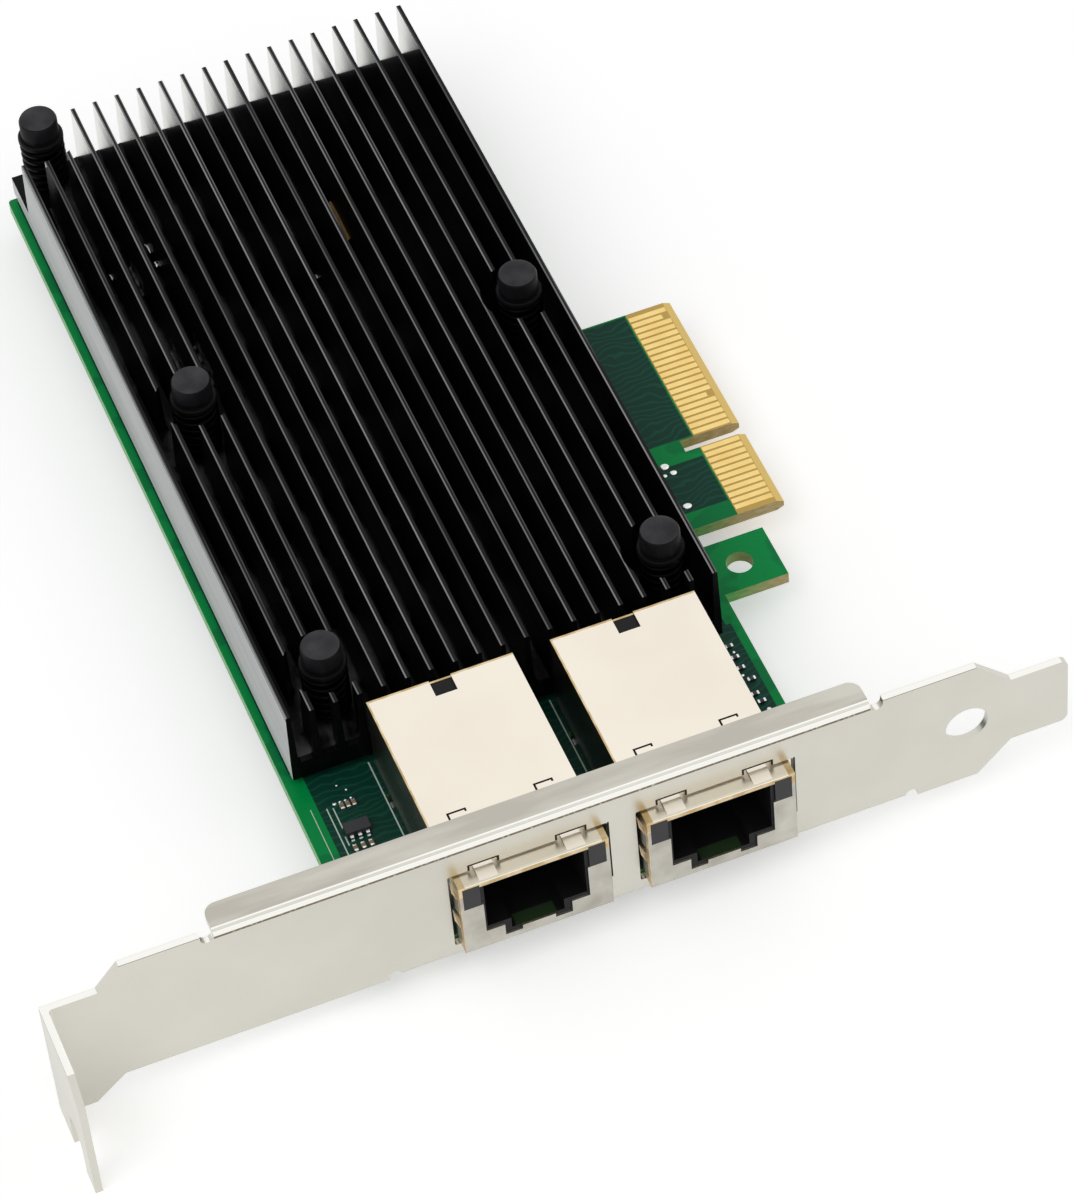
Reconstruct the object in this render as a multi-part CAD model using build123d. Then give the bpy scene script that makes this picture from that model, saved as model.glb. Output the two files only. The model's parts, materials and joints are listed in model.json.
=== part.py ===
from build123d import *
import os

# A dual-port network interface card: circuit board with an edge connector, a finned heatsink held
# by push pins, two shielded modular jacks and a folded steel slot bracket. Millimetres. +X runs
# along the bracket from the screw tab to the tongue, +Y runs away from the bracket along the card,
# and +Z is up from the board towards the component side. While the parts are drawn, x is counted
# from the outer face of the tab, y from the outer face of the bracket and z from the underside of
# the board. At the end everything is moved so that the origin is the middle of the card's box, at
# its lowest point.

# Circuit board
board_thickness = 1.57
board_side_margin = 1.1
board_far_margin = 0.0
board_near_width = 56.05
board_inset = 36.6
board_gap = 0.24
board_corner = 0.5

# Edge connector: short tongue, key notch and long tongue
contact_pitch = 1.0
contact_width = 0.7
contact_length = 4.7
contact_trim = 0.8
contact_thickness = 0.05
contact_setback = 1.0
short_tongue_contacts = 11
long_tongue_contacts = 21
key_margin = 0.55
end_margin = 1.1
key_notch = 1.9
key_depth = 7.6
connector_start = 43.94
connector_reach = 68.0
bevel_run = 0.9
bevel_rise = 0.4
trimmed_on_top = (17, 31)
trimmed_below = (1,)

# Ear with a hole beside the edge connector
ear_slot = 3.04
ear_length = 7.8
ear_reach = 64.0
ear_hole_inset = 4.5
ear_hole_diameter = 3.2

# Bracket sheet
sheet = 0.86
bracket_length = 120.02
bracket_width = 18.42
tab_reach = 11.43
tab_shift = 3.25
tab_top_flat = 6.4
tab_top_chamfer = 2.8
tab_bottom_flat = 4.0
tab_bottom_chamfer = 3.75
tab_corner_run = 2.4
tab_corner_rise = 3.4
tab_slot_width = 4.42
tab_slot_centre = 6.35
tab_slot_depth = 4.2
bend_inside = 0.4
tongue_width = 10.19
tongue_length = 6.92
tongue_corner = 1.0
flange_start = 19.9
flange_end = 96.3
flange_depth = 4.0
flange_corner = 1.5
relief_width = 1.5
relief_depth = 1.2
fold_start = 39.95
fold_end = 100.2
fold_depth = 2.4
bracket_hole_diameter = 5.1
bracket_hole_from_end = 12.27
cutout_width = 18.7
cutout_gap = 0.28
cutout_below = 0.37
cutout_corner = 0.3
cutout_window_width = 3.2
cutout_window_height = 0.7
foot_width = 6.0
foot_depth = 10.0
foot_screw_setback = 3.2

# Bracket screws
screw_diameter = 2.5
screw_head_diameter = 4.8
screw_head_height = 1.5
screw_hole_diameter = 3.0
screw_tail = 0.9
screw_fit = 0.04

# Modular jacks
port_first = 55.65
port_pitch = 22.0
jack_width = 17.5
jack_height = 11.3
jack_front = 1.8
jack_back = 27.1
shell = 0.25
shell_clearance = 0.05
window_width = 12.2
window_height = 7.95
window_below_top = 0.75
window_latch_width = 7.9
window_latch_depth = 1.75
window_rib_width = 3.9
window_rib_height = 0.6
socket_width = 11.7
socket_height = 7.45
socket_depth = 12.5
latch_width = 6.2
latch_depth = 1.65
housing_length = 16.0
light_width = 2.0
light_height = 3.5
light_offset = 7.35
light_below_top = 0.4
light_length = 6.0
light_clearance = 0.02
notch_width = 2.6
notch_depth = 2.4
slot_offset = 5.1
slot_span = 2.3
slot_leg = 1.3
slot_line = 0.35
slot_from_front = 9.0
finger_width = 2.2
finger_length = 3.2
finger_rise = 0.3
shield_tab_width = 1.6
shield_tab_slot = 0.5
shield_tab_tail = 1.3
peg_diameter = 3.0
peg_hole_diameter = 3.2
peg_tail = 0.9
peg_offset = 6.0
peg_y = 8.0
wire_count = 8
wire_pitch = 1.02
wire_width = 0.35
wire_thickness = 0.3
wire_start = 2.6
wire_run = 6.4
wire_drop = 2.6
wire_foot = 0.8
pin_diameter = 0.5
pin_hole_diameter = 0.9
pin_tail = 1.3
pins_per_row = 5
pin_pitch = 2.54
pin_rows = (3.4, 7.2)

# Heatsink
heatsink_inset = 1.0
heatsink_gap = 1.1
heatsink_width = 52.3
heatsink_length = 102.5
heatsink_lift = 1.0
base_thickness = 2.66
fin_count = 19
fin_height = 8.1
fin_root = 0.95
fin_tip = 0.55
root_radius = 0.35
pocket_diameter = 9.2
corner_cut = 4.0
recess_depth = 1.2
recess_clearance = 1.2
recess_margin_near = 12.0
recess_margin_far = 12.0
recess_corner = 3.0

# Push pins: places from the heatsink's sides and near end, and the fifth from its far left corner
pin_left = 6.8
pin_right = 4.6
pin_near = 6.1
pin_middle = 50.5
pin_corner = (4.0, 2.8)
cap_diameter = 4.3
cap_height = 1.4
cap_round = 0.45
cap_above_fins = 1.57
shank_diameter = 2.9
shank_hole_diameter = 3.4
board_hole_diameter = 3.1
barb_diameter = 3.8
barb_length = 1.9
barb_split = 0.7
barb_split_length = 1.4
spring_outside = 5.5
spring_wall = 0.75

# Controller, pad and power parts under the heatsink
chip_size = 25.0
chip_carrier_height = 0.8
chip_lid_inset = 2.5
chip_height = 2.0
chip_from_near = 46.0
pad_size = 18.0
inductor_size = 6.4
inductor_height = 1.9
inductor_corner = 0.9
inductor_pitch = 8.5
inductor_count = 4
inductor_from_chip = 8.0
regulator_size = (5.0, 5.0, 0.9)
regulator_gap = 2.0

# Small parts: sizes, then places as x from the board's left edge and y from the bracket's face
capacitor_size = (0.5, 1.0, 0.5)
resistor_size = (1.0, 0.5, 0.35)
large_capacitor_size = (1.25, 2.0, 1.25)
memory_size = (5.2, 5.3, 1.75)
driver_size = (2.9, 1.6, 1.0)
crystal_size = (3.2, 2.5, 0.7)
lead_width = 0.4
lead_thickness = 0.15
lead_reach = 0.6
lead_pitch = 0.95
driver_place = (5.35, 19.3)
capacitor_places = ((4.9, 23.0), (5.6, 23.0), (6.3, 23.0), (4.25, 16.75), (5.2, 16.75), (6.15, 16.75))
resistor_places = ((53.4, 26.7), (53.4, 24.9), (53.4, 23.2), (53.9, 21.2), (53.4, 19.0), (53.7, 17.7))
crystal_place = (27.0, 49.0)
large_capacitor_row = (12.0, 22.7, 3.2)
large_capacitor_count = 9
memory_places = ((14.0, 62.0), (14.0, 84.0))
decoupling_rows = ((18.0, 66.0, 2.0), (18.0, 82.0, 2.0))
decoupling_count = 10
coupling_row = (57.5, 60.5, 1.2)
coupling_count = 16

# Places that follow from the sizes
board_left = board_inset
heatsink_left = board_left + heatsink_inset
heatsink_right = heatsink_left + heatsink_width
heatsink_near = jack_back + heatsink_gap
heatsink_far = heatsink_near + heatsink_length
board_right = heatsink_right + board_side_margin
board_near_right = board_left + board_near_width
board_near = sheet + board_gap
board_far = heatsink_far + board_far_margin
short_tongue = (short_tongue_contacts - 1) * contact_pitch + key_margin + end_margin
long_tongue = (long_tongue_contacts - 1) * contact_pitch + key_margin + end_margin
tongue_near = board_near + connector_start
key_near = tongue_near + short_tongue
key_far = key_near + key_notch
tongue_far = key_far + long_tongue
tip = board_left + connector_reach
ear_far = tongue_near - ear_slot
ear_near = ear_far - ear_length
ear_tip = board_left + ear_reach
ear_hole_x = ear_tip - ear_hole_inset
ear_hole_y = (ear_near + ear_far) / 2
bracket_bottom = -sheet
bracket_top = bracket_bottom + bracket_width
bracket_middle = (bracket_bottom + bracket_top) / 2
tab_bottom = bracket_bottom - tab_shift
tab_top = bracket_top - tab_shift
shoulder = (bracket_width - tongue_width) / 2
tongue_start = bracket_length - tongue_length
shoulder_start = tongue_start - shoulder
jack_top = board_thickness + jack_height
cutout_bottom = board_thickness - cutout_below
cutout_top = jack_top + cutout_gap
foot_left = fold_start + foot_width / 2
foot_right = board_near_right - foot_screw_setback
foot_screw_y = foot_depth - foot_screw_setback
ports = (port_first, port_first + port_pitch)
window_top = jack_top - window_below_top
window_bottom = window_top - window_height
socket_top = window_top
socket_bottom = socket_top - socket_height
base_bottom = board_thickness + heatsink_lift
base_top = base_bottom + base_thickness
fin_top = base_top + fin_height
fin_pitch = (heatsink_width - fin_root) / (fin_count - 1)
cap_top = fin_top + cap_above_fins
cap_bottom = cap_top - cap_height
recess_top = base_bottom + recess_depth
chip_x = (heatsink_left + heatsink_right) / 2
chip_y = heatsink_near + chip_from_near
inductor_row_length = (inductor_count - 1) * inductor_pitch + inductor_size
pin_places = (
    (heatsink_left + pin_left, heatsink_near + pin_near),
    (heatsink_right - pin_right, heatsink_near + pin_near),
    (heatsink_left + pin_left, heatsink_near + pin_middle),
    (heatsink_right - pin_right, heatsink_near + pin_middle),
    (heatsink_left + pin_corner[0], heatsink_far - pin_corner[1]),
)

nodes = {}


def block(x0, x1, y0, y1, z0, z1):
    return Pos((x0 + x1) / 2, (y0 + y1) / 2, (z0 + z1) / 2) * Box(x1 - x0, y1 - y0, z1 - z0)


def rod(x, y, z0, z1, diameter):
    return Pos(x, y, (z0 + z1) / 2) * Cylinder(diameter / 2, z1 - z0)


def slab(points, z0, z1):
    """Extrudes an outline of x, y points from z0 to z1."""
    return extrude(Pos(0, 0, z0) * make_face(Polyline(*points, close=True)), amount=z1 - z0)


def wall(points, y0, y1):
    """Extrudes an outline of x, z points from y0 to y1."""
    plane = Plane(origin=(0, y0, 0), x_dir=(1, 0, 0), z_dir=(0, -1, 0))
    return extrude(plane * make_face(Polyline(*points, close=True)), amount=-(y1 - y0))


def side(points, x0, x1):
    """Extrudes an outline of y, z points from x0 to x1."""
    plane = Plane(origin=(x0, 0, 0), x_dir=(0, 1, 0), z_dir=(1, 0, 0))
    return extrude(plane * make_face(Polyline(*points, close=True)), amount=x1 - x0)


def upright_edges(solid, x, y):
    """The edges parallel to Z that pass through x, y."""
    return [e for e in solid.edges().filter_by(Axis.Z) if abs(e.center().X - x) + abs(e.center().Y - y) < 0.01]


# Circuit board


def board_outline():
    return [
        (board_left, board_near),
        (board_near_right, board_near),
        (board_near_right, ear_near),
        (ear_tip, ear_near),
        (ear_tip, ear_far),
        (board_right, ear_far),
        (board_right, tongue_near),
        (tip, tongue_near),
        (tip, key_near),
        (tip - key_depth, key_near),
        (tip - key_depth, key_far),
        (tip, key_far),
        (tip, tongue_far),
        (board_right, tongue_far),
        (board_right, board_far),
        (board_left, board_far),
    ]


def circuit_board():
    board = slab(board_outline(), 0, board_thickness)
    corners = upright_edges(board, board_left, board_far) + upright_edges(board, board_right, board_far)
    board = fillet(corners, board_corner)
    wedge = [(tip - bevel_run, 0), (tip, 0), (tip, bevel_rise)]
    top_wedge = [(x, board_thickness - z) for x, z in wedge]
    board -= wall(wedge, tongue_near, tongue_far)
    board -= wall(top_wedge, tongue_near, tongue_far)
    board -= rod(ear_hole_x, ear_hole_y, 0, board_thickness, ear_hole_diameter)
    for x, y in pin_places:
        board -= rod(x, y, 0, board_thickness, board_hole_diameter)
    for x in (foot_left, foot_right):
        board -= rod(x, foot_screw_y, 0, board_thickness, screw_hole_diameter)
    for port in ports:
        for x, y in peg_spots(port):
            board -= rod(x, y, 0, board_thickness, peg_hole_diameter)
        for x, y in pin_spots(port):
            board -= rod(x, y, 0, board_thickness, pin_hole_diameter)
        for x0, x1, y0, y1 in shield_tabs(port, shield_tab_slot):
            board -= block(x0, x1, y0, y1, 0, board_thickness)
    return board


def contact_spots():
    """Number and y of each contact, counted from the end nearer the bracket."""
    near = [(n + 1, tongue_near + end_margin + n * contact_pitch) for n in range(short_tongue_contacts)]
    first = short_tongue_contacts + 1
    far = [(first + n, key_far + key_margin + n * contact_pitch) for n in range(long_tongue_contacts)]
    return near + far


def contact_row(z0, trimmed):
    end = tip - contact_setback
    start = end - contact_length
    row = []
    for number, y in contact_spots():
        stop = end - contact_trim if number in trimmed else end
        half = contact_width / 2
        row.append(block(start, stop, y - half, y + half, z0, z0 + contact_thickness))
    return row


# Slot bracket


def bracket_outline():
    bottom_corner = tab_bottom_flat + tab_bottom_chamfer
    top_corner = tab_top_flat + tab_top_chamfer
    return [
        (0, tab_bottom),
        (tab_bottom_flat, tab_bottom),
        (bottom_corner, bracket_bottom),
        (shoulder_start, bracket_bottom),
        (tongue_start, bracket_bottom + shoulder),
        (bracket_length, bracket_bottom + shoulder),
        (bracket_length, bracket_top - shoulder),
        (tongue_start, bracket_top - shoulder),
        (shoulder_start, bracket_top),
        (top_corner, bracket_top),
        (tab_top_flat, tab_top),
        (0, tab_top),
    ]


def tab():
    outline = [
        (sheet, tab_bottom),
        (sheet, tab_top),
        (-tab_reach + tab_corner_run, tab_top),
        (-tab_reach, tab_top - tab_corner_rise),
        (-tab_reach, tab_bottom),
    ]
    plate = side(outline, 0, sheet)
    slot_end = tab_bottom + tab_slot_depth
    half = tab_slot_width / 2
    slot = block(0, sheet, -tab_slot_centre - half, -tab_slot_centre + half, tab_bottom, slot_end)
    slot += Pos(sheet / 2, -tab_slot_centre, slot_end) * Rot(0, 90, 0) * Cylinder(half, sheet)
    return plate - slot


def rear_fold(x0, x1, depth, z0):
    """A lip of the sheet folded back from the face, from x0 to x1, lying on z0."""
    return block(x0, x1, 0, depth, z0, z0 + sheet)


def relief(x0, edge, inward):
    """A round-bottomed notch cut into the sheet's edge beside a fold."""
    radius = relief_width / 2
    bottom = edge + inward * (relief_depth - radius)
    low, high = sorted((edge - inward * sheet, bottom))
    notch = block(x0, x0 + relief_width, 0, sheet, low, high)
    return notch + Pos(x0 + radius, sheet / 2, bottom) * Rot(90, 0, 0) * Cylinder(radius, sheet)


def bend_round(x0, x1, edge, inward):
    """The waste outside a bend's rounded corner, at the outer face, from x0 to x1."""
    radius = bend_inside + sheet / 2
    low, high = sorted((edge, edge + inward * radius))
    waste = block(x0, x1, 0, radius, low, high)
    centre = Pos((x0 + x1) / 2, radius, edge + inward * radius)
    return waste - centre * Rot(0, 90, 0) * Cylinder(radius, x1 - x0)


def cutout(port):
    half = cutout_width / 2
    hole = block(port - half, port + half, 0, sheet, cutout_bottom, cutout_top)
    hole = fillet(hole.edges().filter_by(Axis.Y), cutout_corner)
    for offset in (-slot_offset, slot_offset):
        left = port + offset - cutout_window_width / 2
        hole += block(left, left + cutout_window_width, 0, sheet, jack_top, cutout_top + cutout_window_height)
    return hole


def foot(x0, x1, screw_x):
    """A foot of the lower fold that reaches under the board and takes a screw."""
    plate = block(x0, x1, 0, foot_depth, bracket_bottom, bracket_bottom + sheet)
    return plate - rod(screw_x, foot_screw_y, bracket_bottom, 0, screw_diameter + 2 * screw_fit)


def bracket():
    plate = wall(bracket_outline(), 0, sheet)
    tongue_ends = [e for e in plate.edges().filter_by(Axis.Y) if abs(e.center().X - bracket_length) < 0.01]
    plate = fillet(tongue_ends, tongue_corner)
    plate += tab()
    outside = upright_edges(plate, 0, sheet)
    inside = upright_edges(plate, sheet, 0)
    plate = fillet(outside, bend_inside + sheet)
    plate = fillet(inside, bend_inside)
    flange = rear_fold(flange_start, flange_end, flange_depth, bracket_top - sheet)
    corners = upright_edges(flange, flange_start, flange_depth) + upright_edges(flange, flange_end, flange_depth)
    plate += fillet(corners, flange_corner)
    plate += rear_fold(fold_start, fold_end, fold_depth, bracket_bottom)
    plate += foot(foot_left - foot_width / 2, foot_left + foot_width / 2, foot_left)
    plate += foot(foot_right - foot_width / 2, foot_right + foot_width / 2, foot_right)
    bends = (
        (bracket_top, -1, flange_start, flange_end),
        (bracket_bottom, 1, fold_start, fold_end),
    )
    for edge, inward, x0, x1 in bends:
        plate -= bend_round(x0, x1, edge, inward)
        for x in (x0 - relief_width, x1):
            plate -= relief(x, edge, inward)
    for port in ports:
        plate -= cutout(port)
    hole_x = bracket_length - bracket_hole_from_end
    plate -= Pos(hole_x, sheet / 2, bracket_middle) * Rot(90, 0, 0) * Cylinder(bracket_hole_diameter / 2, sheet)
    return plate


def bracket_screw(x):
    head = rod(x, foot_screw_y, board_thickness, board_thickness + screw_head_height, screw_head_diameter)
    head = fillet(head.edges().group_by(Axis.Z)[-1], screw_head_height / 2)
    shank = rod(x, foot_screw_y, bracket_bottom - screw_tail, board_thickness, screw_diameter)
    return head + shank


# Modular jacks


def peg_spots(port):
    return [(port - peg_offset, peg_y), (port + peg_offset, peg_y)]


def pin_spots(port):
    first = port - (pins_per_row - 1) * pin_pitch / 2
    return [(first + n * pin_pitch, jack_back - row) for row in pin_rows for n in range(pins_per_row)]


def shield_tabs(port, clearance):
    """Boxes in x and y for the tabs that hold the shield in the board, grown by a clearance."""
    boxes = []
    for x in (port - jack_width / 2, port + jack_width / 2 - shell):
        for y in (jack_back * 0.45, jack_back * 0.8):
            half = shield_tab_width / 2 + clearance / 2
            boxes.append((x - clearance / 2, x + shell + clearance / 2, y - half, y + half))
    return boxes


def shield_window(port, y0, y1):
    """The opening in the shield's front: plug and lights above, latch recess with its rib below."""
    half = window_width / 2
    space = block(port - half, port + half, y0, y1, window_bottom, window_top)
    half = light_offset + light_width / 2
    light_top = jack_top - light_below_top
    space += block(port - half, port + half, y0, y1, light_top - light_height, window_top)
    for offset in (-light_offset, light_offset):
        space += light_box(port, offset, y0, y1, 0)
    half = window_latch_width / 2
    low = window_bottom - window_latch_depth
    space += block(port - half, port + half, y0, y1, low, window_bottom)
    half = window_rib_width / 2
    return space - block(port - half, port + half, y0, y1, low, low + window_rib_height)


def socket_space(port, y0, y1):
    """The open section of the housing: the plug's cavity with the latch channel under it."""
    half = socket_width / 2
    space = block(port - half, port + half, y0, y1, socket_bottom, socket_top)
    half = latch_width / 2
    return space + block(port - half, port + half, y0, y1, socket_bottom - latch_depth, socket_bottom)


def light_box(port, offset, y0, y1, grow):
    top = jack_top - light_below_top
    half = light_width / 2 + grow
    centre = port + offset
    return block(centre - half, centre + half, y0, y1, top - light_height - grow, top + grow)


def u_slot(port, offset):
    """A thin U cut in the shield's top, which frees a small tongue."""
    x0 = port + offset - slot_span / 2
    x1 = x0 + slot_span
    y1 = slot_from_front - jack_front
    z0, z1 = jack_top - shell, jack_top
    cut = block(x0, x1, y1 - slot_line, y1, z0, z1)
    cut += block(x0, x0 + slot_line, y1 - slot_leg, y1, z0, z1)
    return cut + block(x1 - slot_line, x1, y1 - slot_leg, y1, z0, z1)


def spring_fingers(port):
    """Low wedges pressed out of the shield where it passes through the bracket."""
    y0 = -jack_front + shell
    ramp = [(y0, 0), (y0 + finger_length / 2, finger_rise), (y0 + finger_length, 0)]
    top = [(y, jack_top + rise) for y, rise in ramp]
    fingers = []
    for offset in (-slot_offset, slot_offset):
        x0 = port + offset - finger_width / 2
        fingers.append(side(top, x0, x0 + finger_width))
    middle = (cutout_bottom + cutout_top) / 2
    for direction in (-1, 1):
        outside = port + direction * jack_width / 2
        outline = [(outside + direction * rise, y) for y, rise in ramp]
        for z in (middle - finger_width * 1.3, middle + finger_width * 0.9):
            fingers.append(slab(outline, z - finger_width / 2, z + finger_width / 2))
    return fingers


def jack_shield(port):
    half = jack_width / 2
    body = block(port - half, port + half, -jack_front, jack_back, board_thickness, jack_top)
    inner = half - shell
    body -= block(port - inner, port + inner, -jack_front + shell, jack_back - shell, board_thickness, jack_top - shell)
    body -= shield_window(port, -jack_front, -jack_front + shell)
    half_notch = notch_width / 2
    body -= block(port - half_notch, port + half_notch, jack_back - notch_depth, jack_back, jack_top - shell, jack_top)
    for offset in (-slot_offset, slot_offset):
        body -= u_slot(port, offset)
    for x0, x1, y0, y1 in shield_tabs(port, 0):
        body += block(x0, x1, y0, y1, -shield_tab_tail, board_thickness)
    for finger in spring_fingers(port):
        body += finger
    return body


def jack_housing(port):
    half = jack_width / 2 - shell - shell_clearance
    front = -jack_front + shell
    back = front + housing_length
    top = jack_top - shell - shell_clearance
    body = block(port - half, port + half, front, back, board_thickness, top)
    body -= socket_space(port, front, -jack_front + socket_depth)
    for offset in (-light_offset, light_offset):
        body -= light_box(port, offset, front, front + light_length, light_clearance)
    for x, y in peg_spots(port):
        body += rod(x, y, -peg_tail, board_thickness, peg_diameter)
    return body


def jack_magnetics(port):
    half = jack_width / 2 - shell - shell_clearance
    front = -jack_front + shell + housing_length
    top = jack_top - shell - shell_clearance
    back = jack_back - shell - shell_clearance
    return block(port - half, port + half, front, back, board_thickness, top)


def jack_lights(port):
    front = -jack_front
    back = -jack_front + shell + light_length
    return [light_box(port, offset, front, back, 0) for offset in (-light_offset, light_offset)]


def jack_wires(port):
    """Spring wires that hang from the socket's ceiling and slope down to the rear."""
    y0 = -jack_front + wire_start
    y1 = y0 + wire_run
    low = socket_top - wire_drop
    outline = [
        (y0, socket_top),
        (y0 + wire_foot, socket_top),
        (y1, low),
        (y1 + wire_foot, low - wire_thickness / 2),
        (y1 + wire_foot, low - wire_thickness * 1.5),
        (y1 - wire_thickness / 2, low - wire_thickness),
    ]
    first = port - (wire_count - 1) * wire_pitch / 2
    starts = [first + n * wire_pitch - wire_width / 2 for n in range(wire_count)]
    return [side(outline, x, x + wire_width) for x in starts]


def jack_pins(port):
    return [rod(x, y, -pin_tail, board_thickness, pin_diameter) for x, y in pin_spots(port)]


# Heatsink


def fin_section():
    """The extruded section: base plate with tapered fins that run into it with small radii."""
    width = heatsink_right - heatsink_left
    middle = (heatsink_left + heatsink_right) / 2
    section = Pos(middle, base_bottom + base_thickness / 2) * Rectangle(width, base_thickness)
    for n in range(fin_count):
        x = heatsink_left + fin_root / 2 + n * fin_pitch
        outline = [
            (x - fin_root / 2, base_top),
            (x + fin_root / 2, base_top),
            (x + fin_tip / 2, fin_top),
            (x - fin_tip / 2, fin_top),
        ]
        section += make_face(Polyline(*outline, close=True))
    roots = [
        v
        for v in section.vertices()
        if abs(v.Y - base_top) < 0.001 and heatsink_left + 0.01 < v.X < heatsink_right - 0.01
    ]
    return fillet(roots, root_radius)


def heatsink():
    plane = Plane(origin=(0, heatsink_near, 0), x_dir=(1, 0, 0), z_dir=(0, -1, 0))
    body = extrude(plane * fin_section(), amount=-heatsink_length)
    for x, y in pin_places:
        body -= rod(x, y, base_top, fin_top, pocket_diameter)
        body -= rod(x, y, base_bottom, base_top, shank_hole_diameter)
    corner_x, corner_y = pin_places[-1]
    body -= block(heatsink_left, corner_x, corner_y - corner_cut, heatsink_far, base_top, fin_top)
    half = inductor_row_length / 2 + recess_clearance
    x0, x1 = chip_x - half, chip_x + half
    y0, y1 = heatsink_near + recess_margin_near, heatsink_far - recess_margin_far
    recess = block(x0, x1, y0, y1, base_bottom, recess_top)
    recess = fillet(recess.edges().filter_by(Axis.Z), recess_corner)
    return body - recess


# Push pins


def push_pin(x, y):
    cap = rod(x, y, cap_top - cap_height, cap_top, cap_diameter)
    cap = fillet(cap.edges().group_by(Axis.Z)[-1], cap_round)
    pin = cap + rod(x, y, 0, cap_bottom, shank_diameter)
    middle = -barb_length / 2
    pin += Pos(x, y, middle) * Cone(shank_diameter / 4, barb_diameter / 2, barb_length)
    half = barb_split / 2
    reach = barb_diameter / 2
    return pin - block(x - half, x + half, y - reach, y + reach, -barb_length, barb_split_length - barb_length)


def push_pin_spring(x, y):
    tube = rod(x, y, base_top, cap_bottom, spring_outside)
    return tube - rod(x, y, base_top, cap_bottom, spring_outside - 2 * spring_wall)


# Controller and power parts


def controller_chip():
    half = chip_size / 2
    z1 = board_thickness + chip_carrier_height
    carrier = block(chip_x - half, chip_x + half, chip_y - half, chip_y + half, board_thickness, z1)
    half -= chip_lid_inset
    lid = block(chip_x - half, chip_x + half, chip_y - half, chip_y + half, z1, board_thickness + chip_height)
    return carrier + chamfer(lid.edges().group_by(Axis.Z)[-1], 0.3)


def thermal_pad():
    half = pad_size / 2
    return block(chip_x - half, chip_x + half, chip_y - half, chip_y + half, board_thickness + chip_height, recess_top)


def inductor_row():
    half = inductor_size / 2
    y = chip_y + chip_size / 2 + inductor_from_chip
    first = chip_x - (inductor_count - 1) * inductor_pitch / 2
    row = []
    for n in range(inductor_count):
        x = first + n * inductor_pitch
        part = block(x - half, x + half, y - half, y + half, board_thickness, board_thickness + inductor_height)
        row.append(chamfer(part.edges().filter_by(Axis.Z), inductor_corner))
    return row


def flat_part(x, y, size, z=None):
    """A flat rectangular package on the board's top, or on z."""
    z0 = board_thickness if z is None else z
    return block(x - size[0] / 2, x + size[0] / 2, y - size[1] / 2, y + size[1] / 2, z0, z0 + size[2])


def regulators():
    y = chip_y + chip_size / 2 + inductor_from_chip + inductor_size + regulator_gap
    return [flat_part(chip_x + offset, y, regulator_size) for offset in (-inductor_pitch, inductor_pitch)]


def leaded_chip(x, y):
    """A small six-lead package: body, and three gull-wing leads on each long side."""
    length, width, height = driver_size
    body = flat_part(x, y, (length, width, height - lead_thickness), board_thickness + lead_thickness)
    leads = []
    for side_y in (y - width / 2 - lead_reach, y + width / 2):
        for n in (-1, 0, 1):
            centre = x + n * lead_pitch
            half = lead_width / 2
            z1 = board_thickness + lead_thickness
            leads.append(block(centre - half, centre + half, side_y, side_y + lead_reach, board_thickness, z1))
    return body, leads


def power_capacitors():
    """A row across the board, placed from the heatsink's far end."""
    left, from_far, pitch = large_capacitor_row
    y = heatsink_far - from_far
    return [flat_part(board_left + left + n * pitch, y, large_capacitor_size) for n in range(large_capacitor_count)]


def below(x, y, size):
    """A flat rectangular package on the board's underside."""
    return flat_part(x, y, size, -size[2])


def decoupling_capacitors():
    """Rows of small capacitors on the underside, behind the controller."""
    parts = []
    for left, y, pitch in decoupling_rows:
        parts += [below(board_left + left + n * pitch, y, capacitor_size) for n in range(decoupling_count)]
    return parts


def coupling_capacitors():
    """A row on the underside beside the edge connector, one for each transmitting line."""
    left, y, pitch = coupling_row
    size = (capacitor_size[1], capacitor_size[0], capacitor_size[2])
    return [below(board_left + left, y + n * pitch, size) for n in range(coupling_count)]


# Assembly

nodes["circuit_board"] = [circuit_board()]
nodes["edge_contacts_top"] = contact_row(board_thickness, trimmed_on_top)
nodes["edge_contacts_bottom"] = contact_row(-contact_thickness, trimmed_below)
nodes["slot_bracket"] = [bracket()]
nodes["bracket_screws"] = [bracket_screw(foot_left), bracket_screw(foot_right)]
for name, port in zip(("left", "right"), ports):
    nodes[name + "_jack_shield"] = [jack_shield(port)]
    nodes[name + "_jack_housing"] = [jack_housing(port)]
    nodes[name + "_jack_magnetics"] = [jack_magnetics(port)]
    nodes[name + "_jack_lights"] = jack_lights(port)
    nodes[name + "_jack_wires"] = jack_wires(port)
    nodes[name + "_jack_pins"] = jack_pins(port)
nodes["heatsink"] = [heatsink()]
nodes["push_pins"] = [push_pin(x, y) for x, y in pin_places]
nodes["push_pin_springs"] = [push_pin_spring(x, y) for x, y in pin_places]
nodes["controller_chip"] = [controller_chip()]
nodes["thermal_pad"] = [thermal_pad()]
nodes["power_inductors"] = inductor_row()
nodes["power_regulators"] = regulators()
nodes["power_capacitors"] = power_capacitors()
nodes["clock_crystal"] = [flat_part(board_left + crystal_place[0], crystal_place[1], crystal_size)]
driver_body, driver_leads = leaded_chip(board_left + driver_place[0], driver_place[1])
nodes["driver_chip"] = [driver_body]
nodes["driver_leads"] = driver_leads
nodes["signal_capacitors"] = [flat_part(board_left + x, y, capacitor_size) for x, y in capacitor_places]
nodes["signal_resistors"] = [flat_part(board_left + x, y, resistor_size) for x, y in resistor_places]
nodes["memory_chips"] = [below(board_left + x, y, memory_size) for x, y in memory_places]
nodes["decoupling_capacitors"] = decoupling_capacitors()
nodes["coupling_capacitors"] = coupling_capacitors()

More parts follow.
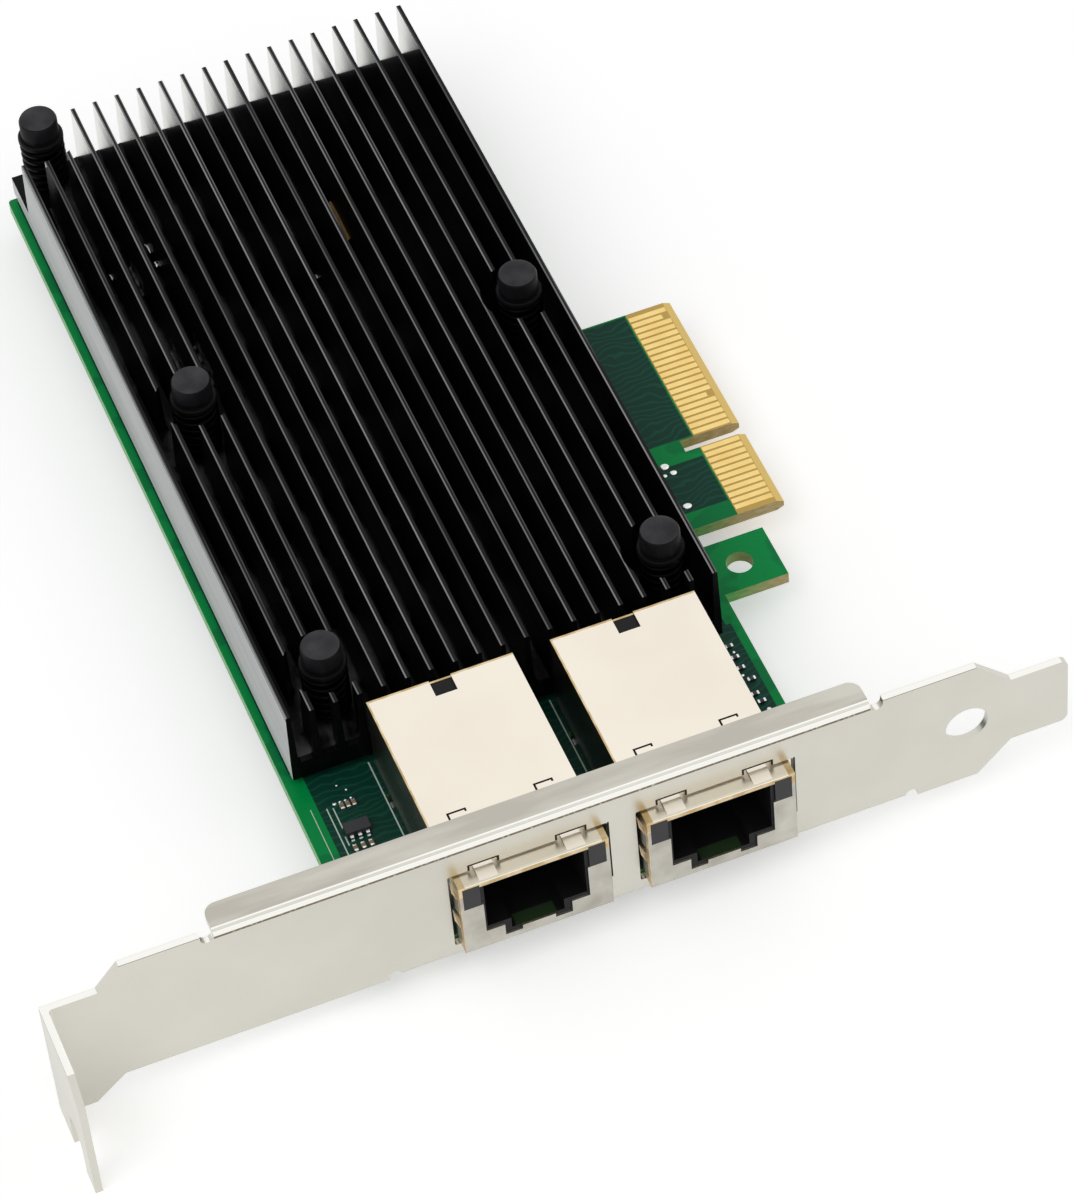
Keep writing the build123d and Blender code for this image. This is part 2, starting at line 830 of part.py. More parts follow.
middle_x = bracket_length / 2
middle_y = (board_far - tab_reach) / 2
os.makedirs("parts", exist_ok=True)
for name, solids in nodes.items():
    moved = [Pos(-middle_x, -middle_y, -tab_bottom) * solid for solid in solids]
    shape = moved[0] if len(moved) == 1 else Compound(children=moved)
    export_step(shape, "parts/" + name + ".step")
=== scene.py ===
import bpy
import json
from math import cos, pi, radians, sin
from mathutils import Matrix, Vector


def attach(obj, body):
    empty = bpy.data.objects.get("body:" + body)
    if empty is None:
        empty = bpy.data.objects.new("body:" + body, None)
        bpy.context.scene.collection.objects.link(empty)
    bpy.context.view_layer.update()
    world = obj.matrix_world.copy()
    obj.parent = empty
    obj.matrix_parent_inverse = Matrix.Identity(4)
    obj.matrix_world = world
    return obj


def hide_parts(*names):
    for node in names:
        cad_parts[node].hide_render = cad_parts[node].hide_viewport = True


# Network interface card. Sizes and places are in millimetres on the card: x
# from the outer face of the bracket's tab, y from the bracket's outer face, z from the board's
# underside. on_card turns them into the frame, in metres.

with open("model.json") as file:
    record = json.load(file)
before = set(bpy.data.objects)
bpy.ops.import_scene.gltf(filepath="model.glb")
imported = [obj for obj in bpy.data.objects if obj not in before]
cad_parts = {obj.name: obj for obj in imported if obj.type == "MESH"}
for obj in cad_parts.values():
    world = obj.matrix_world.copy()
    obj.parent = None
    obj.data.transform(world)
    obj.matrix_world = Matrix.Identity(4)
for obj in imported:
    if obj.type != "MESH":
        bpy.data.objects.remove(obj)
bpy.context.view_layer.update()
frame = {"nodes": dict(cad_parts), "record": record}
ORIGIN = (60.01, 59.635, -4.11)
BOARD_TOP = 1.57
BASE_TOP = 5.23
FIN_TOP = 13.33
FIN_COUNT = 19
FIN_FIRST = 38.075
FIN_PITCH = 2.8528
OUTER_FIN_ROOT = 0.97
OUTER_FIN_NARROWING = 0.58
HEATSINK_NEAR = 28.2
HEATSINK_FAR = 130.7
PORTS = (55.65, 77.65)
JACK_HALF = 8.75
JACK_FRONT = -1.8
JACK_BACK = 27.1
JACK_TOP = 12.87
BRACKET_TOP = 17.56
TAB_TOP = 14.31
FINGER_OFFSET = 5.1
PIN_PLACES = ((44.4, 34.3), (85.3, 34.3), (44.4, 78.7), (85.3, 78.7), (41.6, 127.9))
COLLAR_BOTTOM = 12.9


def on_card(x, y, z):
    return Vector((x - ORIGIN[0], y - ORIGIN[1], z - ORIGIN[2])) * 0.001


# Shader building


def new_material(name):
    """A new material, with its node tree and its Principled shader."""
    material = bpy.data.materials.new(name)
    material.use_nodes = True
    tree = material.node_tree
    shader = tree.nodes["Principled BSDF"]
    return material, tree, shader


def add_node(tree, kind, **values):
    node = tree.nodes.new(kind)
    for key, value in values.items():
        setattr(node, key, value)
    return node


def math_node(tree, operation, a, b=None, c=None):
    """One operation on up to three values, each a number or a socket."""
    node = add_node(tree, "ShaderNodeMath", operation=operation)
    for socket, value in zip(node.inputs, (a, b, c)):
        if value is None:
            continue
        if isinstance(value, (int, float)):
            socket.default_value = value
        else:
            tree.links.new(value, socket)
    return node.outputs[0]


def mix_colour(tree, factor, a, b):
    """Colour a where the factor is 0 and b where it is 1."""
    node = add_node(tree, "ShaderNodeMix", data_type="RGBA")
    for socket, value in zip((node.inputs[0], node.inputs[6], node.inputs[7]), (factor, a, b)):
        if isinstance(value, (int, float)):
            socket.default_value = value
        elif isinstance(value, tuple):
            socket.default_value = value if len(value) == 4 else (*value, 1.0)
        else:
            tree.links.new(value, socket)
    return node.outputs[2]


def place(tree):
    """Where the surface is on the card, whichever piece it is on."""
    return add_node(tree, "ShaderNodeTexCoord").outputs["Object"]


def noise(tree, vector, scale, detail=3.0, stretch=(1, 1, 1)):
    """Cloudy noise from 0 to 1. A stretch below 1 draws it out along that axis."""
    mapping = add_node(tree, "ShaderNodeMapping")
    mapping.inputs["Scale"].default_value = stretch
    tree.links.new(vector, mapping.inputs["Vector"])
    texture = add_node(tree, "ShaderNodeTexNoise")
    texture.inputs["Scale"].default_value = scale
    texture.inputs["Detail"].default_value = detail
    tree.links.new(mapping.outputs[0], texture.inputs["Vector"])
    return texture.outputs["Fac"]


def ramp(tree, value, low, high):
    """0 below low and 1 above high, with a straight slope between."""
    node = add_node(tree, "ShaderNodeMapRange")
    node.inputs["From Min"].default_value = low
    node.inputs["From Max"].default_value = high
    tree.links.new(value, node.inputs["Value"])
    return node.outputs["Result"]


def bump(tree, shader, height, strength, distance):
    """Fine relief in the surface, distance in metres."""
    node = add_node(tree, "ShaderNodeBump")
    node.inputs["Strength"].default_value = strength
    node.inputs["Distance"].default_value = distance
    tree.links.new(height, node.inputs["Height"])
    tree.links.new(node.outputs[0], shader.inputs["Normal"])


# Shared effects, as node groups


def build_box_mask():
    """A group that is 1 inside a box of the card and 0 outside, for printed or bare areas."""
    group = bpy.data.node_groups.new("box_mask", "ShaderNodeTree")
    for name in ("Place", "Low", "High"):
        group.interface.new_socket(name, in_out="INPUT", socket_type="NodeSocketVector")
    group.interface.new_socket("Mask", in_out="OUTPUT", socket_type="NodeSocketFloat")
    start = group.nodes.new("NodeGroupInput")
    end = group.nodes.new("NodeGroupOutput")
    split = []
    for name in ("Place", "Low", "High"):
        node = group.nodes.new("ShaderNodeSeparateXYZ")
        group.links.new(start.outputs[name], node.inputs[0])
        split.append(node)
    total = None
    for axis in range(3):
        above = math_node(group, "GREATER_THAN", split[0].outputs[axis], split[1].outputs[axis])
        under = math_node(group, "LESS_THAN", split[0].outputs[axis], split[2].outputs[axis])
        within = math_node(group, "MULTIPLY", above, under)
        total = within if total is None else math_node(group, "MULTIPLY", total, within)
    group.links.new(total, end.inputs["Mask"])
    return group


def build_fine_wear():
    """A group that gives cloudy stains and fine scratches for metal and plastic surfaces."""
    group = bpy.data.node_groups.new("fine_wear", "ShaderNodeTree")
    for name in ("Cloud Scale", "Scratch Scale"):
        group.interface.new_socket(name, in_out="INPUT", socket_type="NodeSocketFloat")
    group.interface.new_socket("Clouds", in_out="OUTPUT", socket_type="NodeSocketFloat")
    group.interface.new_socket("Scratches", in_out="OUTPUT", socket_type="NodeSocketFloat")
    start = group.nodes.new("NodeGroupInput")
    end = group.nodes.new("NodeGroupOutput")
    where = place(group)
    cloud = group.nodes.new("ShaderNodeTexNoise")
    cloud.inputs["Detail"].default_value = 5.0
    group.links.new(where, cloud.inputs["Vector"])
    group.links.new(start.outputs["Cloud Scale"], cloud.inputs["Scale"])
    group.links.new(cloud.outputs["Fac"], end.inputs["Clouds"])
    mapping = group.nodes.new("ShaderNodeMapping")
    mapping.inputs["Scale"].default_value = (1.0, 0.06, 1.0)
    mapping.inputs["Rotation"].default_value = (0.0, 0.0, 0.5)
    group.links.new(where, mapping.inputs["Vector"])
    lines = group.nodes.new("ShaderNodeTexNoise")
    lines.inputs["Detail"].default_value = 2.0
    group.links.new(mapping.outputs[0], lines.inputs["Vector"])
    group.links.new(start.outputs["Scratch Scale"], lines.inputs["Scale"])
    sharp = ramp(group, lines.outputs["Fac"], 0.66, 0.74)
    group.links.new(sharp, end.inputs["Scratches"])
    return group


BOX_MASK = build_box_mask()
FINE_WEAR = build_fine_wear()


def box_mask(tree, where, low, high):
    """1 inside one box, given by its low and high corners on the card."""
    node = add_node(tree, "ShaderNodeGroup", node_tree=BOX_MASK)
    tree.links.new(where, node.inputs["Place"])
    node.inputs["Low"].default_value = on_card(*low)
    node.inputs["High"].default_value = on_card(*high)
    return node.outputs["Mask"]


def fine_wear(tree, cloud_scale, scratch_scale):
    """Clouds and scratches, each from 0 to 1."""
    node = add_node(tree, "ShaderNodeGroup", node_tree=FINE_WEAR)
    node.inputs["Cloud Scale"].default_value = cloud_scale
    node.inputs["Scratch Scale"].default_value = scratch_scale
    return node.outputs["Clouds"], node.outputs["Scratches"]


def facing(tree):
    """How far the surface faces along X, Y and Z, each from -1 to 1."""
    split = add_node(tree, "ShaderNodeSeparateXYZ")
    tree.links.new(add_node(tree, "ShaderNodeNewGeometry").outputs["True Normal"], split.inputs[0])
    return split.outputs


def coordinate(tree, where, axis):
    """One of the three numbers of a place, in metres."""
    split = add_node(tree, "ShaderNodeSeparateXYZ")
    tree.links.new(where, split.inputs[0])
    return split.outputs[axis]


def facing_up(tree, least=0.9):
    """1 where the surface faces up by more than least."""
    return math_node(tree, "GREATER_THAN", facing(tree)[2], least)


def steeper(tree, axis, least):
    """1 where the surface faces more than least along an axis, either way."""
    return math_node(tree, "GREATER_THAN", math_node(tree, "ABSOLUTE", facing(tree)[axis]), least)


def both(tree, a, b):
    """1 where both masks are."""
    return math_node(tree, "MULTIPLY", a, b)


def either(tree, masks):
    """1 where any of the masks is."""
    total = masks[0]
    for mask in masks[1:]:
        total = math_node(tree, "MAXIMUM", total, mask)
    return total


def inside_any(tree, where, boxes):
    """1 inside any of the boxes, each a low and a high corner on the card."""
    return either(tree, [box_mask(tree, where, low, high) for low, high in boxes])


def over_heatsink(low, high):
    """A box over the whole heatsink, between two heights."""
    return (30, 20, low), (95, 140, high)


# Finishes


def metal(name, colour, dark, roughness, spread, cloud_scale=150.0):
    """Plated sheet with faint clouds in its colour and gloss, and fine scratches."""
    material, tree, shader = new_material(name)
    shader.inputs["Metallic"].default_value = 1.0
    clouds, scratches = fine_wear(tree, cloud_scale, 1400.0)
    tone = ramp(tree, clouds, 0.35, 0.7)
    tree.links.new(mix_colour(tree, tone, dark, colour), shader.inputs["Base Color"])
    rough = math_node(tree, "MULTIPLY_ADD", scratches, 0.12, roughness)
    gloss = math_node(tree, "MULTIPLY", tone, spread)
    tree.links.new(math_node(tree, "ADD", rough, gloss), shader.inputs["Roughness"])
    return material


def plastic(name, colour, dark, roughness, grain_scale, grain_strength):
    """Moulded plastic with a fine sparked texture."""
    material, tree, shader = new_material(name)
    clouds = fine_wear(tree, 260.0, 1600.0)[0]
    tone = ramp(tree, clouds, 0.3, 0.75)
    tree.links.new(mix_colour(tree, tone, dark, colour), shader.inputs["Base Color"])
    rough = math_node(tree, "MULTIPLY_ADD", clouds, 0.15, roughness)
    tree.links.new(rough, shader.inputs["Roughness"])
    bump(tree, shader, noise(tree, place(tree), grain_scale, 3.0), grain_strength, 0.00003)
    return material


TRACED_AREAS = (
    ((90.0, 58.8, -1), (98.6, 80.0, 3)), ((90.0, 47.6, -1), (98.6, 55.3, 3)),
    ((38.9, 1.0, -1), (91.6, 30.0, 3)), ((37.6, 30.0, -1), (91.0, 130.0, 3)),
)
INK_LINES = (
    ((46.35, 15.5, 1), (46.52, 28.0, 3)), ((68.35, 15.5, 1), (68.52, 28.0, 3)),
    ((39.75, 15.5, 1), (39.9, 23.6, 3)), ((38.05, 15.5, 1), (38.15, 24.2, 3)),
    ((40.45, 20.2, 1), (40.6, 23.4, 3)), ((40.3, 17.6, 1), (40.45, 19.0, 3)),
)
BARE_LAMINATE = ((98.8, 44.9, -1), (106.0, 80.5, 3))
BEVELLED_TIP = ((103.6, 44.9, -1), (106.0, 80.5, 3))


def board_finish():
    """Solder mask over copper: green planes, dark traced areas, thin white lines, bare laminate."""
    material, tree, shader = new_material("board")
    where = place(tree)
    fan = add_node(tree, "ShaderNodeTexWave", wave_type="BANDS", bands_direction="Y")
    fan.inputs["Scale"].default_value = 330.0
    fan.inputs["Distortion"].default_value = 16.0
    fan.inputs["Detail"].default_value = 2.0
    fan.inputs["Detail Scale"].default_value = 0.6
    tree.links.new(where, fan.inputs["Vector"])
    tracks = ramp(tree, fan.outputs["Fac"], 0.7, 0.95)
    patches = ramp(tree, noise(tree, where, 170.0, 2.0), 0.52, 0.56)
    plane = mix_colour(tree, patches, (0.0, 0.29, 0.065), (0.0, 0.22, 0.058))
    traced = mix_colour(tree, tracks, (0.004, 0.05, 0.032), (0.009, 0.08, 0.049))
    colour = mix_colour(tree, inside_any(tree, where, TRACED_AREAS), plane, traced)
    colour = mix_colour(tree, inside_any(tree, where, INK_LINES), colour, (0.62, 0.7, 0.66))
    colour = mix_colour(tree, box_mask(tree, where, *BARE_LAMINATE), colour, (0.7, 0.47, 0.13))
    cut = math_node(tree, "LESS_THAN", math_node(tree, "ABSOLUTE", facing(tree)[2]), 0.5)
    cut_tone = ramp(tree, noise(tree, where, 900.0, 3.0, (1, 1, 4)), 0.3, 0.7)
    laminate = mix_colour(tree, cut_tone, (0.1, 0.42, 0.1), (0.2, 0.6, 0.18))
    tan = mix_colour(tree, cut_tone, (0.5, 0.38, 0.17), (0.72, 0.58, 0.3))
    along = ramp(tree, coordinate(tree, where, 0), on_card(93, 0, 0).x, on_card(99.5, 0, 0).x)
    colour = mix_colour(tree, cut, colour, mix_colour(tree, along, laminate, tan))
    tip = both(tree, steeper(tree, 0, 0.3), box_mask(tree, where, *BEVELLED_TIP))
    colour = mix_colour(tree, tip, colour, (0.95, 0.67, 0.21))
    tree.links.new(colour, shader.inputs["Base Color"])
    shader.inputs["Roughness"].default_value = 0.32
    shader.inputs["Specular IOR Level"].default_value = 0.12
    bump(tree, shader, tracks, 0.25, 0.00003)
    return material


FIN_FEET = ((38.5, 29.0, 5.0), (95.0, 140.0, 5.9))
OUTER_WALL = ((37.4, 20, 2), (37.9, 140, 14))
WALL_RIDGE = ((37.4, 20, 12.75), (37.9, 140, 13.1))
DUST_BLOTS = (
    ((45.9, 104.5, 5.0), (46.4, 109.8, 7.4)), ((45.9, 87.5, 5.0), (46.4, 94.5, 7.6)),
    ((48.7, 87.0, 5.0), (49.3, 94.0, 7.6)),
)
REFLECTION_SLOPE = 1.03


def root_highlight_and_dust(tree, where, colour):
    """Painted highlight along the fins' feet and the floor between them, in patches, and thick dust in a few
    blots.
    """
    root_sheen = ramp(tree, noise(tree, where, 190.0, 4.0, (1.0, 0.5, 1.0)), 0.48, 0.62)
    feet = box_mask(tree, where, *FIN_FEET)
    # Painted highlight: the fins' feet are painted grey in patches.
    colour = mix_colour(tree, both(tree, feet, root_sheen), colour, (0.12, 0.12, 0.125))
    speckle = ramp(tree, noise(tree, where, 700.0, 5.0), 0.42, 0.62)
    blots = both(tree, inside_any(tree, where, DUST_BLOTS), speckle)
    return mix_colour(tree, blots, colour, (0.4, 0.41, 0.42))


def fin_top_highlights(tree, where, colour):
    """Painted highlights on the fins' tops: the tops a little lighter, and two thin lines along each top, the
    second in patches.
    """
    fin_tops = box_mask(tree, where, *over_heatsink(FIN_TOP - 0.1, FIN_TOP + 0.1))
    top = both(tree, facing_up(tree), fin_tops)
    # Painted highlight: the fins' tops are painted a little lighter, then two thin lines on each.
    colour = mix_colour(tree, top, colour, (0.014, 0.014, 0.015))
    highlight_tone = ramp(tree, noise(tree, where, 200.0, 3.0, (1.0, 0.1, 1.0)), 0.35, 0.65)
    patchy = ramp(tree, noise(tree, where, 60.0, 2.0, (1.0, 0.4, 1.0)), 0.5, 0.58)
    across = math_node(tree, "SUBTRACT", coordinate(tree, where, 0), on_card(FIN_FIRST, 0, 0).x)
    across = math_node(tree, "DIVIDE", across, FIN_PITCH / 1000)
    off_centre = math_node(tree, "SUBTRACT", across, math_node(tree, "ROUND", across))
    # Each line's offset from the fin's middle, half its width, its two colours, and where it shows
    for offset, half, dull, bright, seen in (
        (-0.19, 0.09, (0.08, 0.08, 0.082), (0.3, 0.3, 0.305), None),
        (0.2, 0.06, (0.04, 0.04, 0.04), (0.2, 0.2, 0.2), patchy),
    ):
        away = math_node(tree, "SUBTRACT", off_centre, offset / FIN_PITCH)
        near = math_node(tree, "LESS_THAN", math_node(tree, "ABSOLUTE", away), half / FIN_PITCH)
        line = both(tree, top, near)
        line = both(tree, line, seen) if seen else line
        colour = mix_colour(tree, line, colour, mix_colour(tree, highlight_tone, dull, bright))
    return colour


def far_end_reflection_mask(tree, where, left_side):
    """The fins' left sides past a slant at the heatsink's far end, where a pale reflection is painted."""
    height = math_node(tree, "SUBTRACT", coordinate(tree, where, 2), on_card(0, 0, BASE_TOP).z)
    rise = math_node(tree, "MULTIPLY", height, REFLECTION_SLOPE)
    leaning = math_node(tree, "ADD", coordinate(tree, where, 1), rise)
    far_end = math_node(tree, "GREATER_THAN", leaning, on_card(0, HEATSINK_FAR, 0).y)
    return both(tree, both(tree, left_side, far_end), math_node(tree, "GREATER_THAN", height, 0))


def heatsink_finish():
    """Black anodised extrusion with dust blots, painted highlights on the fin tops and along the fins' feet,
    and painted reflections on the fins' far ends and the outer wall.
    """
    material, tree, shader = new_material("heatsink_black")
    where = place(tree)
    lines = noise(tree, where, 1500.0, 2.0, (1.0, 0.01, 1.0))
    colour = mix_colour(tree, lines, (0.0012, 0.0012, 0.0014), (0.004, 0.004, 0.0045))
    colour = root_highlight_and_dust(tree, where, colour)
    colour = fin_top_highlights(tree, where, colour)
    left_side = math_node(tree, "LESS_THAN", facing(tree)[0], -0.8)
    far_reflection = far_end_reflection_mask(tree, where, left_side)
    # Painted reflection: the fins' far ends are painted pale and metallic.
    colour = mix_colour(tree, far_reflection, colour, (0.82, 0.83, 0.79))
    tree.links.new(far_reflection, shader.inputs["Metallic"])
    # Painted reflection: the outer wall's left side is painted pale grey in streaks, with a dark green-grey
    # line near its top.
    wall_reflection = both(tree, left_side, box_mask(tree, where, *OUTER_WALL))
    streak = ramp(tree, noise(tree, where, 400.0, 3.0, (1.0, 0.05, 1.0)), 0.35, 0.65)
    pale = mix_colour(tree, streak, (0.49, 0.5, 0.5), (0.63, 0.65, 0.65))
    colour = mix_colour(tree, wall_reflection, colour, pale)
    ridge = both(tree, wall_reflection, box_mask(tree, where, *WALL_RIDGE))
    colour = mix_colour(tree, ridge, colour, (0.02, 0.07, 0.06))
    tree.links.new(colour, shader.inputs["Base Color"])
    tree.links.new(math_node(tree, "MULTIPLY_ADD", lines, 0.16, 0.25), shader.inputs["Roughness"])
    shader.inputs["Specular IOR Level"].default_value = 0.08
    bump(tree, shader, lines, 0.12, 0.00002)
    return material


def housing_finish():
    """Black glass-filled plastic with a dark green floor in the latch channel."""
    material, tree, shader = new_material("jack_plastic")
    where = place(tree)
    tone = ramp(tree, noise(tree, where, 260.0, 4.0), 0.3, 0.75)
    colour = mix_colour(tree, tone, (0.004, 0.004, 0.005), (0.007, 0.007, 0.008))
    floors = [((port - 2.6, -2.0, 2.9), (port + 2.2, 0.1, 3.15)) for port in PORTS]
    green = both(tree, facing_up(tree), inside_any(tree, where, floors))
    colour = mix_colour(tree, green, colour, (0.018, 0.04, 0.015))
    tree.links.new(colour, shader.inputs["Base Color"])
    shader.inputs["Roughness"].default_value = 0.45
    shader.inputs["Specular IOR Level"].default_value = 0.2
    bump(tree, shader, noise(tree, where, 2400.0, 3.0), 0.12, 0.00003)
    return material


FLANGE_TOP = ((19, 0.8, 17.4), (97, 5, 17.7))
UPPER_BEND = ((19, -1, 16.7), (97, 1, 17.6))
UPPER_EDGES = ((-1, -12, 13.0), (121, 0.82, 17.7))
BEND_SHADE_LINE = ((19.9, -0.1, 16.6), (96.3, 0.3, 16.9))
SHADED_RIMS = (
    ((9.0, -0.1, BRACKET_TOP - 0.1), (18.4, 0.02, BRACKET_TOP + 0.01)),
    ((97.8, -0.1, BRACKET_TOP - 0.1), (109.3, 0.02, BRACKET_TOP + 0.01)),
    ((-0.1, -11.4, TAB_TOP - 0.1), (0.02, 0.5, TAB_TOP + 0.01)),
)


def window_shade_boxes():
    """Boxes for painted shade around the bracket's finger windows and along each cut-out's right side."""
    boxes = []
    for port in PORTS:
        edge = port + 9.3
        boxes.append(((edge, -0.1, 3.6), (edge + 0.22, 0.05, 13.2)))
        for middle in (port - FINGER_OFFSET, port + FINGER_OFFSET):
            boxes.append(((middle - 1.85, -0.1, 12.7), (middle + 1.85, 0.05, 14.1)))
    return boxes


def bend_highlight(tree, where, up):
    """Painted highlight on the upper bend and on the cut edges that face up."""
    lean = math_node(tree, "SUBTRACT", facing(tree)[2], 0.52)
    turn = math_node(tree, "LESS_THAN", math_node(tree, "ABSOLUTE", lean), 0.24)
    bend = both(tree, turn, box_mask(tree, where, *UPPER_BEND))
    edges = both(tree, up, box_mask(tree, where, *UPPER_EDGES))
    return either(tree, [bend, edges])


def bracket_finish():
    """Nickel-plated sheet with a satin grain, painted highlights on the upper bend and the up-facing cut
    edges, and painted shade under the bend, in the windows and along some top edges.
    """
    material, tree, shader = new_material("bracket_steel")
    where = place(tree)
    shader.inputs["Metallic"].default_value = 1.0
    clouds, scratches = fine_wear(tree, 60.0, 1400.0)
    tone = ramp(tree, clouds, 0.3, 0.75)
    colour = mix_colour(tree, tone, (0.62, 0.605, 0.54), (0.685, 0.67, 0.605))
    up = facing_up(tree, 0.95)
    streaks = ramp(tree, noise(tree, where, 500.0, 4.0, (0.15, 1.0, 1.0)), 0.4, 0.7)
    satin = mix_colour(tree, streaks, (0.5, 0.475, 0.42), (0.62, 0.6, 0.54))
    flange = both(tree, up, box_mask(tree, where, *FLANGE_TOP))
    colour = mix_colour(tree, flange, colour, satin)
    # Painted highlight on the upper bend and the up-facing cut edges.
    colour = mix_colour(tree, bend_highlight(tree, where, up), colour, (0.92, 0.91, 0.86))
    speckle = ramp(tree, noise(tree, where, 2600.0, 2.0), 0.25, 0.45)
    # Painted shade: a dark brown speckled line at the foot of the upper bend.
    bend_shade = both(tree, box_mask(tree, where, *BEND_SHADE_LINE), speckle)
    colour = mix_colour(tree, bend_shade, colour, (0.2, 0.16, 0.11))
    # Painted shade around the finger windows and along the cut-outs' right sides.
    colour = mix_colour(tree, inside_any(tree, where, window_shade_boxes()), colour, (0.02, 0.018, 0.015))
    colour = mix_colour(tree, inside_any(tree, where, SHADED_RIMS), colour, (0.3, 0.28, 0.25))
    tree.links.new(colour, shader.inputs["Base Color"])
    tree.links.new(math_node(tree, "MULTIPLY_ADD", scratches, 0.1, 0.33), shader.inputs["Roughness"])
    bump(tree, shader, noise(tree, where, 1800.0, 4.0, (0.05, 1.0, 1.0)), 0.05, 0.00002)
    return material


def pin_finish():
    """Black moulded pins in three tones of one black: painted light on the caps' tops, the caps' sides, and
    painted shade on the collars and below.
    """
    material, tree, shader = new_material("pin_plastic")
    where = place(tree)
    wear = ramp(tree, noise(tree, where, 420.0, 5.0), 0.35, 0.7)
    shaded_collar = mix_colour(tree, wear, (0.002, 0.002, 0.0025), (0.004, 0.004, 0.0045))
    side = mix_colour(tree, wear, (0.005, 0.005, 0.006), (0.012, 0.012, 0.014))
    lit_crown = mix_colour(tree, wear, (0.028, 0.027, 0.031), (0.058, 0.057, 0.06))
    # Painted shade below the caps, and painted light on the caps' tops.
    colour = mix_colour(tree, box_mask(tree, where, *over_heatsink(14.2, 16.2)), shaded_collar, side)
    lit_crowns = both(tree, facing_up(tree, 0.5), box_mask(tree, where, *over_heatsink(15.9, 17)))
    colour = mix_colour(tree, lit_crowns, colour, lit_crown)
    tree.links.new(colour, shader.inputs["Base Color"])
    shader.inputs["Roughness"].default_value = 0.4
    shader.inputs["Specular IOR Level"].default_value = 0.1
    bump(tree, shader, noise(tree, where, 1500.0, 3.0), 0.3, 0.00003)
    return material


def jack_edges():
    """Boxes on both shields: brass-coloured rims with painted glints, a painted highlight along the lip over
    the front, and U slots behind the bracket.
    """
    brass_glints = []
    lip_highlights = []
    slots = []
    front, back, top = JACK_FRONT - 0.1, JACK_BACK + 0.1, JACK_TOP + 0.1
    for port in PORTS:
        left, right = port - JACK_HALF - 0.05, port + JACK_HALF + 0.05
        brass_glints += [
            ((left, front, JACK_TOP - 0.7), (right, front + 0.2, JACK_TOP - 0.15)),
            ((left, front, 11.2), (left + 0.8, 1.5, top)),
            ((right - 0.8, front, 11.2), (right, 1.5, top)),
            ((left, front, JACK_TOP - 0.3), (left + 0.25, back, top)),
            ((left, back - 0.35, JACK_TOP - 0.3), (right, back, top)),
            ((left, front, 1.0), (left + 0.12, 1.2, top)),
        ]
        lip_highlights.append(((left + 0.8, front, JACK_TOP - 0.15), (right - 0.8, front + 0.4, top)))
        for middle in (port - FINGER_OFFSET, port + FINGER_OFFSET):
            slots += [
                ((middle - 1.15, 8.35, 12.0), (middle + 1.15, 8.6, top)),
                ((middle - 1.15, 7.2, 12.0), (middle - 0.9, 8.6, top)),
                ((middle + 0.9, 8.1, 12.0), (middle + 1.15, 8.6, top)),
            ]
    return brass_glints, lip_highlights, slots


def jack_finish():
    """Plated shield: cream top, grey front under a brass-coloured rim, painted shade on the sides, and
    brass-coloured corners with painted glints.
    """
    material, tree, shader = new_material("jack_metal")
    where = place(tree)
    shader.inputs["Metallic"].default_value = 1.0
    clouds, scratches = fine_wear(tree, 70.0, 1600.0)
    tone = ramp(tree, clouds, 0.3, 0.75)
    colour = mix_colour(tree, tone, (0.86, 0.79, 0.68), (0.915, 0.85, 0.74))
    # Painted shade: the sides facing along X are painted dark grey.
    colour = mix_colour(tree, steeper(tree, 0, 0.8), colour, (0.16, 0.16, 0.145))
    forward = math_node(tree, "LESS_THAN", facing(tree)[1], -0.8)
    cloudy = ramp(tree, noise(tree, where, 260.0, 4.0), 0.35, 0.68)
    grey = mix_colour(tree, cloudy, (0.42, 0.4, 0.35), (0.6, 0.58, 0.52))
    colour = mix_colour(tree, forward, colour, grey)
    glint_tone = ramp(tree, noise(tree, where, 600.0, 4.0), 0.4, 0.6)
    brass_glint = mix_colour(tree, glint_tone, (0.55, 0.39, 0.18), (0.74, 0.59, 0.36))
    brass_glints, lip_highlights, slots = jack_edges()
    # Brass-coloured rims with painted glints.
    colour = mix_colour(tree, inside_any(tree, where, brass_glints), colour, brass_glint)
    colour = mix_colour(tree, inside_any(tree, where, slots), colour, (0.01, 0.01, 0.01))
    # Painted highlight along the lip over the front.
    colour = mix_colour(tree, inside_any(tree, where, lip_highlights), colour, (0.94, 0.9, 0.8))
    tree.links.new(colour, shader.inputs["Base Color"])
    tree.links.new(math_node(tree, "MULTIPLY_ADD", scratches, 0.08, 0.3), shader.inputs["Roughness"])
    bump(tree, shader, noise(tree, where, 700.0, 4.0), 0.04, 0.00003)
    return material


def contact_finish():
    """Polished gold plate with faint clouds."""
    material, tree, shader = new_material("contact_gold")
    clouds = fine_wear(tree, 400.0, 1800.0)[0]
    shader.inputs["Metallic"].default_value = 1.0
    tone = ramp(tree, clouds, 0.3, 0.75)
    gold = mix_colour(tree, tone, (0.84, 0.6, 0.21), (0.93, 0.71, 0.3))
    tree.links.new(gold, shader.inputs["Base Color"])
    tree.links.new(math_node(tree, "MULTIPLY_ADD", clouds, 0.12, 0.24), shader.inputs["Roughness"])
    bump(tree, shader, noise(tree, place(tree), 2600.0, 2.0, (0.1, 1, 1)), 0.05, 0.00001)
    return material


def smoked_window():
    """Dark clear plastic over the jack's lights."""
    material, tree, shader = new_material("light_window")
    cloudy = ramp(tree, noise(tree, place(tree), 500.0, 3.0), 0.3, 0.7)
    smoke = mix_colour(tree, cloudy, (0.008, 0.008, 0.01), (0.014, 0.014, 0.018))
    tree.links.new(smoke, shader.inputs["Base Color"])
    shader.inputs["Roughness"].default_value = 0.25
    shader.inputs["Specular IOR Level"].default_value = 0.4
    bump(tree, shader, cloudy, 0.1, 0.00004)
    return material


